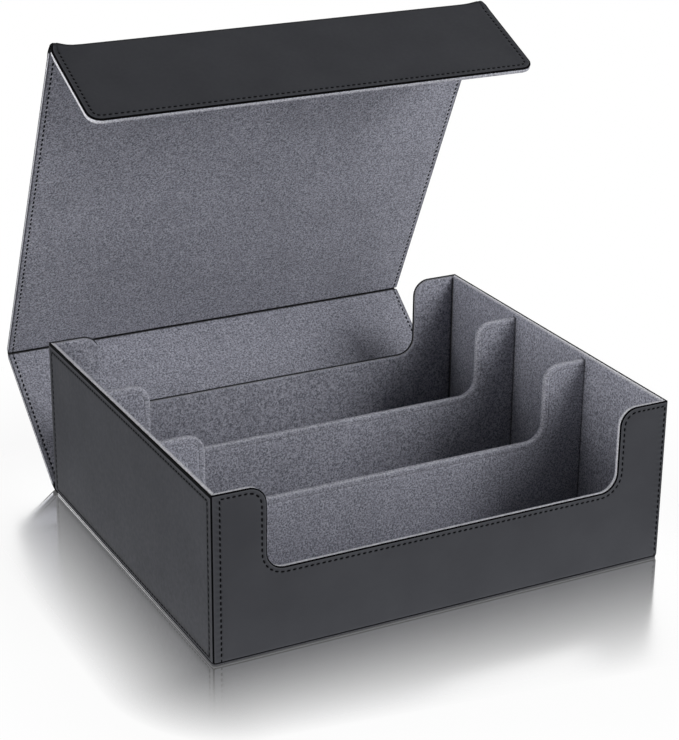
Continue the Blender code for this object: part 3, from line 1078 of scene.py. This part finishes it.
def across(rise):
    """From the leather to the lining of a panel that leaves its crease at that rise."""
    return Vector((0.0, -sin(rise), cos(rise)))


def rise_between(start, end):
    return atan2(end.z - start.z, end.y - start.y)


def panel_frame(axis, rise):
    """Local Y along the panel from its crease's axis, Z from the leather's face inwards."""
    return Matrix.Translation(axis - across(rise) * ROLL_R) @ Matrix.Rotation(rise, 4, "X")


def panel_stations(axis, rise, length):
    """Stations of a straight panel between its two creases, two for each stitch."""
    sewn_length = length - 2 * CREASE_REACH
    count = 2 * stitches_in(sewn_length)
    stations = []
    for i in range(count + 1):
        along = CREASE_REACH + sewn_length * i / count
        face = axis + direction(rise) * along - across(rise) * ROLL_R
        stations.append(Station(face, across(rise), CREASE_REACH, 0.0, 1.0, 1.0 - i % 2))
    return stations


def side_stitches(length):
    """Pairs of needle holes along both sides of a panel, and one stitch past each of its ends."""
    sewn_length = length - 2 * CREASE_REACH
    count = stitches_in(sewn_length)
    pitch = sewn_length / count
    pairs = []
    for side in (-1, 1):
        x = side * (HALF_W - PANEL_SEAM)
        for i in range(-1, count + 1):
            start = CREASE_REACH + i * pitch
            pairs.append(((x, start), (x, start + pitch)))
    return pairs


SPINE_RISE = rise_between(spine_hinge, lid_hinge)
LID_RISE = rise_between(lid_hinge, flap_hinge)
PANELS = (
    ("spine", spine_hinge, SPINE_RISE, (lid_hinge - spine_hinge).length),
    ("lid", lid_hinge, LID_RISE, (flap_hinge - lid_hinge).length),
)
for panel, axis, rise, length in PANELS:
    local = panel_frame(axis, rise)
    stations = panel_stations(axis, rise, length)
    sheet = span(f"{panel}_leather_sheet", stations, PANEL_LEATHER_SECTION, SHADED_COVER_LEATHER)
    lining = span(f"{panel}_lining_sheet", stations, PANEL_LINING_SECTION, (microsuede,))
    for piece, node, slot in (
        (sheet, f"{panel}_leather", "charcoal_leather"),
        (lining, f"{panel}_lining", "grey_microsuede"),
    ):
        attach(piece, panel)
        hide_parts(node)
    sew(f"{panel}_outer_thread", side_stitches(length), local, panel)
    sew(f"{panel}_inner_thread", side_stitches(length), local, panel, face=COVER_T, inward=-1)


# Flap: free on three sides, with round corners. The highlight painted on its turned nap is full
# along the left side and weaker along the front.
FRONT_RIM_HIGHLIGHT = 0.25
FULL_HIGHLIGHT_REACH = 14 * MM


def flap_rim_highlight(x):
    """How much of the highlight painted on the turned nap shows at X."""
    away = min(1.0, (x + HALF_W) / FULL_HIGHLIGHT_REACH)
    return 1 - (1 - FRONT_RIM_HIGHLIGHT) * away


flap_frame = panel_frame(flap_hinge, FLAP_RISE)
flap_outline = (
    (HALF_W, CREASE_REACH, 0.0, "rim"),
    (HALF_W, FLAP_L, FLAP_R, "rim"),
    (-HALF_W, FLAP_L, FLAP_R, "rim"),
    (-HALF_W, CREASE_REACH, 0.0, "rim"),
)
flap_stitches = needle_holes(flap_outline, False, FLAP_LEATHER_SECTION)
for side in (-1, 1):
    x = side * (HALF_W - FLAP_SEAM)
    flap_stitches.append(((x, CREASE_REACH - STITCH), (x, CREASE_REACH)))
flap_leather = skin(
    "flap_leather_sheet", flap_outline, False, FLAP_LEATHER_SECTION, flap_frame, SHADED_COVER_LEATHER
)
flap_lining = skin(
    "flap_lining_sheet",
    flap_outline,
    False,
    FLAP_LINING_SECTION,
    flap_frame,
    (microsuede,),
    highlight_strength=flap_rim_highlight,
)
for piece, node, slot in (
    (flap_leather, "flap_leather", "charcoal_leather"),
    (flap_lining, "flap_lining", "grey_microsuede"),
):
    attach(piece, "flap")
    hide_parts(node)
sew("flap_outer_thread", flap_stitches, flap_frame, "flap")
sew("flap_inner_thread", flap_stitches, flap_frame, "flap", face=COVER_T, inward=-1)


# Creases: where two boards end, leather and lining are pressed together and fold as a living
# hinge. The leather runs round the outside, and the lining dips in on the inside, where a dark
# line of shade is painted.
CREASE_STEPS = 10
DIP_REACH = 2.7 * MM
BOARD_GAP = 2.3 * MM
LEAST_REACH = 0.4 * MM
# Distances of the stations from a crease, in mm, from where the straight panel's stations end
FLAT_STEPS = (8.0, 6.0, 4.6, 3.6, 2.9, 2.3, 1.8, 1.3, 0.9, 0.5, 0.2)


def squeeze_at(away):
    """1 in the crease, where the lining is pressed down in full, and 0 from DIP_REACH on."""
    share = min(1.0, away / DIP_REACH)
    return 1 - share * share * (3 - 2 * share)


def crease_stations(axis, rise_a, rise_b, seam_a=1.0):
    """Stations from one panel over the crease to the next. seam_a is 0 where nothing is sewn."""
    flats = [step * MM for step in FLAT_STEPS]
    stations = []
    for away in flats:
        face = axis - direction(rise_a) * away - across(rise_a) * ROLL_R
        hole = 1.0 if away == CREASE_REACH else 0.0
        stations.append(Station(face, across(rise_a), away, squeeze_at(away), seam_a, hole))
    for i in range(CREASE_STEPS + 1):
        share = i / CREASE_STEPS
        rise = rise_a + (rise_b - rise_a) * share
        seam = seam_a + (1 - seam_a) * share
        stations.append(Station(axis - across(rise) * ROLL_R, across(rise), 0.0, 1.0, seam, 0.0))
    for away in reversed(flats):
        face = axis + direction(rise_b) * away - across(rise_b) * ROLL_R
        hole = 1.0 if away == CREASE_REACH else 0.0
        stations.append(Station(face, across(rise_b), away, squeeze_at(away), 1.0, hole))
    return stations


# The last two: how far the leather flares at the left and right end, and how far its sides draw in
CREASES = (
    ("spine", "tray", "spine", spine_hinge, 0.0, SPINE_RISE, (0.0, 0.0), 0.3 * MM),
    ("lid", "spine", "lid", lid_hinge, SPINE_RISE, LID_RISE, (0.4 * MM, 0.4 * MM), 0.8 * MM),
    ("flap", "lid", "flap", flap_hinge, LID_RISE, FLAP_RISE, (2.6 * MM, 1.2 * MM), 1.4 * MM),
)
for crease, body_a, body_b, axis, rise_a, rise_b, flare, pull in CREASES:
    half_bend = tan((rise_b - rise_a) / 2) * ROLL_R
    seam_a = 0.0 if body_a == "tray" else 1.0
    stations = crease_stations(axis, rise_a, rise_b, seam_a)
    roll = span(
        f"{crease}_crease_leather",
        stations,
        PANEL_LEATHER_SECTION,
        SHADED_COVER_LEATHER,
        flare=flare,
        pull=pull,
        far_section=FLAP_LEATHER_SECTION if crease == "flap" else PANEL_LEATHER_SECTION,
    )
    reach = BOARD_GAP + half_bend
    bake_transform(roll)
    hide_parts(f"{crease}_hinge_leather")

    # The first lining starts beside the rear wall, pressed flat, and not under the tray
    if body_a == "tray":
        under_tray = [s for s in stations if s.away > BOARD_GAP and s.inward == across(rise_a)]
        stations = stations[len(under_tray):]
        stations = [s._replace(squeeze=1.0) if s.inward == across(rise_a) else s for s in stations]
    dip_end = cover_lining_section((FLAP_SEAM if crease == "flap" else PANEL_SEAM) / MM, SIDE_FOLDS)
    dip = span(
        f"{crease}_crease_lining",
        stations,
        PANEL_LINING_SECTION,
        (microsuede,),
        pull=pull,
        far_section=dip_end,
    )
    reach = max(BOARD_GAP - half_bend, LEAST_REACH)
    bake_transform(dip)


# Studio: a white gloss table that mirrors the box close by and fades to plain white, in a bright
# room whose light comes from the front and the sides more than from overhead.
TABLE_HALF = 4.0
TABLE_DROP = 0.1 * MM
TABLE_WHITE = "f4f4f4"
PLAIN_WHITE = "ffffff"
TABLE_POLISHED = 0.02
TABLE_DULL = 0.28
# How strong the mirror is beside the box, and where it has faded away: past the ends of the box,
# and in front of it at its left and right end
MIRROR_STRENGTH = 0.585
MIRROR_WIDE = 71 * MM
MIRROR_DEEP_LEFT = 86.5 * MM
MIRROR_DEEP_RIGHT = 133 * MM
MIRROR_DARK = 0.055
EYE_POWER = 2.2
# How much of the matt table, with the box's shadow, shows beside the box, and how many times as
# far as the mirror it reaches
SHADOW_SHARE = 0.12
SHADOW_REACH = 2.5

table_mesh = bpy.data.meshes.new("table")
table_mesh.from_pydata(
    [(x * TABLE_HALF, y * TABLE_HALF, 0.0) for x, y in ((-1, -1), (1, -1), (1, 1), (-1, 1))],
    [],
    [(0, 1, 2, 3)],
)
table = bpy.data.objects.new("table", table_mesh)
table.location.z = -TABLE_DROP
bpy.context.scene.collection.objects.link(table)

table_white = bpy.data.materials.new("white acrylic table")
table_white.use_nodes = True
tree = table_white.node_tree
tree.nodes.clear()
place_on = add(tree, "TexCoord").outputs["Object"]
parts = add(tree, "SeparateXYZ", {"Vector": place_on})
deep_reach = add(
    tree,
    "MapRange",
    {"Value": parts.outputs["X"], 1: -HALF_W, 2: HALF_W, 3: MIRROR_DEEP_LEFT, 4: MIRROR_DEEP_RIGHT},
)
outside = []
for axis_name, half, reach in (("X", HALF_W, MIRROR_WIDE), ("Y", HALF_D, deep_reach.outputs["Result"])):
    size = add(tree, "Math", {0: parts.outputs[axis_name]}, operation="ABSOLUTE")
    past = add(tree, "Math", {0: size.outputs[0], 1: half}, operation="SUBTRACT")
    past = add(tree, "Math", {0: past.outputs[0], 1: 0.0}, operation="MAXIMUM")
    outside.append(add(tree, "Math", {0: past.outputs[0], 1: reach}, operation="DIVIDE"))
offset = add(tree, "CombineXYZ", {"X": outside[0].outputs[0], "Y": outside[1].outputs[0]})
distance = add(tree, "VectorMath", {0: offset.outputs[0]}, operation="LENGTH").outputs["Value"]
# The mirror's share falls evenly to the eye, which a power turns into a share of the light
level = add(tree, "MapRange", {"Value": distance, 3: 1 - MIRROR_STRENGTH, 4: 1.0})
white_light = add(tree, "Math", {0: level.outputs["Result"], 1: EYE_POWER}, operation="POWER")
mirror_share = add(
    tree, "MapRange", {"Value": white_light.outputs[0], 1: MIRROR_DARK, 2: 1.0, 3: 1.0, 4: 0.0}
)
seen = add(tree, "LightPath").outputs["Is Camera Ray"]
white_part = add(tree, "MapRange", {"Value": distance, 2: SHADOW_REACH, 3: 1 - SHADOW_SHARE, 4: 1.0})
white_seen = add(tree, "Math", {0: seen, 1: white_part.outputs["Result"]}, operation="MULTIPLY")
matt = add(tree, "BsdfDiffuse", {"Color": linear(TABLE_WHITE)})
plain_white = add(tree, "Emission", {"Color": linear(PLAIN_WHITE), "Strength": 1.0})
# The polish is kept up where the box stands, and dulls away from it
dulled = add(tree, "MapRange", {"Value": distance, 3: TABLE_POLISHED, 4: TABLE_DULL}).outputs["Result"]
gloss = add(tree, "BsdfGlossy", {"Color": linear(PLAIN_WHITE), "Roughness": dulled})
faded = add(tree, "MixShader", {0: white_seen.outputs[0], 1: matt.outputs[0], 2: plain_white.outputs[0]})
mirrored = add(
    tree, "MixShader", {0: mirror_share.outputs["Result"], 1: faded.outputs[0], 2: gloss.outputs[0]}
)
add(tree, "OutputMaterial", {"Surface": mirrored.outputs[0]})
table_mesh.materials.append(table_white)

# The room: plain white to the camera and in reflections, and a dim even light on everything else
SKY_LOW = 0.3
SKY_HIGH = 0.2
world = bpy.data.worlds.new("studio")
bpy.context.scene.world = world
world.use_nodes = True
tree = world.node_tree
tree.nodes.clear()
toward = add(tree, "TexCoord").outputs["Generated"]
height = add(tree, "SeparateXYZ", {"Vector": toward}).outputs["Z"]
sky_light = add(tree, "MapRange", {"Value": height, 3: SKY_LOW, 4: SKY_HIGH})
rays = add(tree, "LightPath")
seen = rays.outputs["Is Camera Ray"]
for other in ("Is Glossy Ray", "Is Transmission Ray"):
    seen = add(tree, "Math", {0: seen, 1: rays.outputs[other]}, operation="MAXIMUM").outputs[0]
strength = add(tree, "MapRange", {"Value": seen, 3: sky_light.outputs["Result"], 4: 1.0})
sky = add(tree, "Background", {"Color": linear(PLAIN_WHITE), "Strength": strength.outputs["Result"]})
add(tree, "OutputWorld", {"Surface": sky.outputs[0]})


def soft_box(name, place, aim, size, watts):
    """Round soft box, of that diameter in metres, that shines from its place to its aim."""
    data = bpy.data.lights.new(name, "AREA")
    data.shape = "DISK"
    data.size = size
    data.energy = watts
    lamp = bpy.data.objects.new(name, data)
    lamp.location = place
    lamp.rotation_euler = (Vector(aim) - Vector(place)).to_track_quat("-Z", "Y").to_euler()
    bpy.context.scene.collection.objects.link(lamp)


soft_box("front light", (0.6, -2.0, 0.45), (0.0, 0.0, 0.15), 1.2, 7.5)
soft_box("upper light", (1.1, -1.5, 1.3), (0.0, 0.0, 0.1), 1.2, 31.0)
soft_box("left light", (-3.9, 0.7, 0.8), (0.0, 0.0, 0.12), 2.0, 44.0)
soft_box("low left light", (-3.9, -0.4, 0.4), (0.0, 0.0, 0.12), 1.2, 74.0)
bpy.context.scene.view_settings.view_transform = "Standard"
